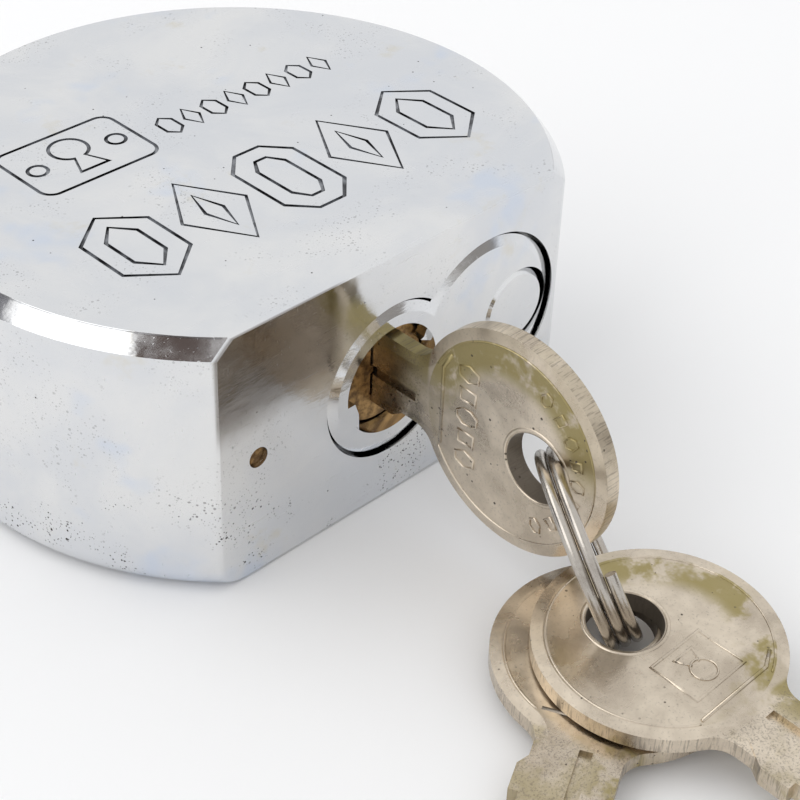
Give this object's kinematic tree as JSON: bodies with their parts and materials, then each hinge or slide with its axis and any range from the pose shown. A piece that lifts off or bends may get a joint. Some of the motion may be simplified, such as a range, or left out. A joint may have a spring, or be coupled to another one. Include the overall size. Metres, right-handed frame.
{
  "type": "hidden pin padlock",
  "caption": "Round D-shaped padlock with a hidden locking pin, a pull-out keyed cylinder carrier, an inserted key and a ring of spare keys.",
  "frame": {"origin": "centre of the round body on the back face it lies on", "axes": "+Z out through the engraved front face, -Y out through the flat with the keyhole, +X towards the locking pin"},
  "size_m": [0.0775, 0.1415, 0.0315],
  "materials": {
    "chrome_body": "worn bright chrome plate with pits",
    "chrome_plate": "worn bright chrome plate",
    "pin_steel": "ground and chrome plated",
    "bright_steel": "machined",
    "spring_steel": "drawn wire",
    "brass": "machined, aged",
    "key_nickel": "worn nickel plate over brass",
    "ring_steel": "nickel plated spring wire"
  },
  "bodies": {
    "lock_body": {"lock_body": "chrome_body", "face_pin": "brass"},
    "carrier": {"face_plate": "chrome_plate", "locking_pin": "pin_steel", "pin_keeper": "bright_steel", "cylinder_shell": "brass", "chamber_cover": "brass", "carrier_screws": "bright_steel", "driver_pin_1": "brass", "driver_pin_2": "brass", "driver_pin_3": "brass", "driver_pin_4": "brass", "driver_pin_5": "brass", "driver_spring_1": "spring_steel", "driver_spring_2": "spring_steel", "driver_spring_3": "spring_steel", "driver_spring_4": "spring_steel", "driver_spring_5": "spring_steel"},
    "plug": {"plug": "brass", "cam": "bright_steel", "cam_clip": "bright_steel", "key_pin_1": "brass", "key_pin_2": "brass", "key_pin_3": "brass", "key_pin_4": "brass", "key_pin_5": "brass"},
    "key": {"key": "key_nickel"},
    "ring": {"split_ring": "ring_steel"},
    "spare_upper": {"spare_key_upper": "key_nickel"},
    "spare_lower": {"spare_key_lower": "key_nickel"}
  },
  "joints": [
    {"name": "carrier_slide", "type": "slide", "parent": "lock_body", "child": "carrier", "axis": [0, -1, 0], "range_m": [0, 0.03]},
    {"name": "plug_turn", "type": "hinge", "parent": "carrier", "child": "plug", "pos_m": [-0.0009, -0.0246, 0.0157], "axis": [0, 1, 0], "range_deg": [-90, 0]},
    {"name": "key_slide", "type": "slide", "parent": "plug", "child": "key", "axis": [0, -1, 0], "range_m": [0, 0.022], "deforming": ["key_pin_1", "key_pin_2", "key_pin_3", "key_pin_4", "key_pin_5"]},
    {"name": "ring_swing", "type": "hinge", "parent": "key", "child": "ring", "pos_m": [-0.0009, -0.0481, 0.017], "axis": [-1, 0, 0], "range_deg": [0, 120]},
    {"name": "spare_upper_swing", "type": "hinge", "parent": "ring", "child": "spare_upper", "pos_m": [-0.00288, -0.06179, 0.00537], "axis": [-0.032, -0.03, 0.999], "range_deg": [-55, 55]},
    {"name": "spare_lower_swing", "type": "hinge", "parent": "ring", "child": "spare_lower", "pos_m": [-0.00164, -0.06014, 0.00309], "axis": [-0.032, -0.03, 0.999], "range_deg": [-40, 55]}
  ]
}
